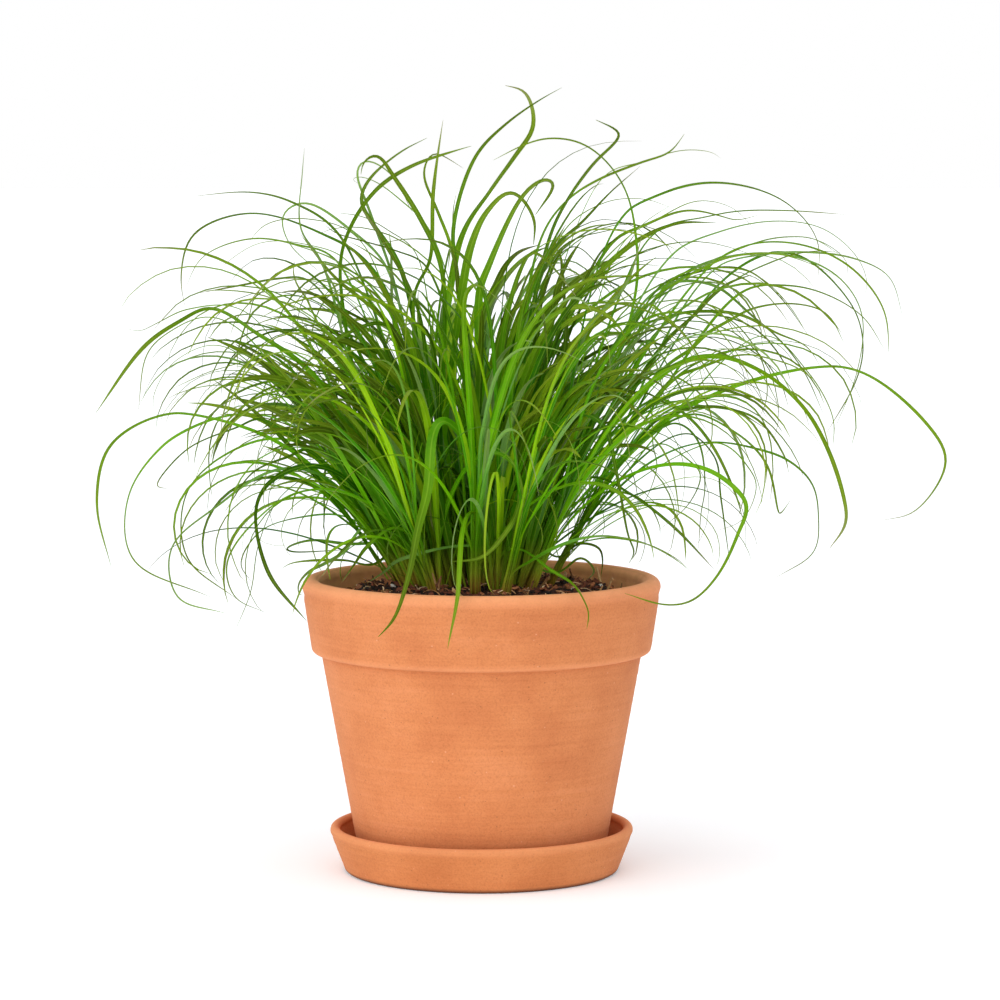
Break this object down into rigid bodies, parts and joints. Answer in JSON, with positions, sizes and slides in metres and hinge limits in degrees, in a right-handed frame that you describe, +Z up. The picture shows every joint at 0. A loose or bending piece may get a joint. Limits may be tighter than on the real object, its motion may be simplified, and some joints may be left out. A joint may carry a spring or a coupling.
{
  "type": "potted umbrella sedge",
  "caption": "Grass-like umbrella sedge with a fountain of narrow arching blades, growing in soil in a round terracotta pot on a matching saucer.",
  "frame": {"origin": "centre of the saucer's flat underside, on the pot's axis, at the surface that it stands on", "axes": "+Z up along the pot's axis, +Y away from the viewer of the picture, +X to the viewer's right"},
  "size_m": [0.4229, 0.3708, 0.3947],
  "materials": {
    "terracotta": "matte",
    "saucer_terracotta": "matte",
    "potting_soil": "matte",
    "sedge_leaf": "satin"
  },
  "bodies": {
    "root": {"saucer": "saucer_terracotta", "pot": "terracotta", "soil": "potting_soil", "shoot_01": "sedge_leaf", "shoot_02": "sedge_leaf", "shoot_03": "sedge_leaf", "shoot_04": "sedge_leaf", "shoot_05": "sedge_leaf", "shoot_06": "sedge_leaf", "shoot_07": "sedge_leaf", "shoot_08": "sedge_leaf", "shoot_09": "sedge_leaf", "shoot_10": "sedge_leaf", "shoot_11": "sedge_leaf", "shoot_12": "sedge_leaf", "shoot_13": "sedge_leaf", "shoot_14": "sedge_leaf", "shoot_15": "sedge_leaf", "shoot_16": "sedge_leaf", "shoot_17": "sedge_leaf"}
  },
  "joints": []
}
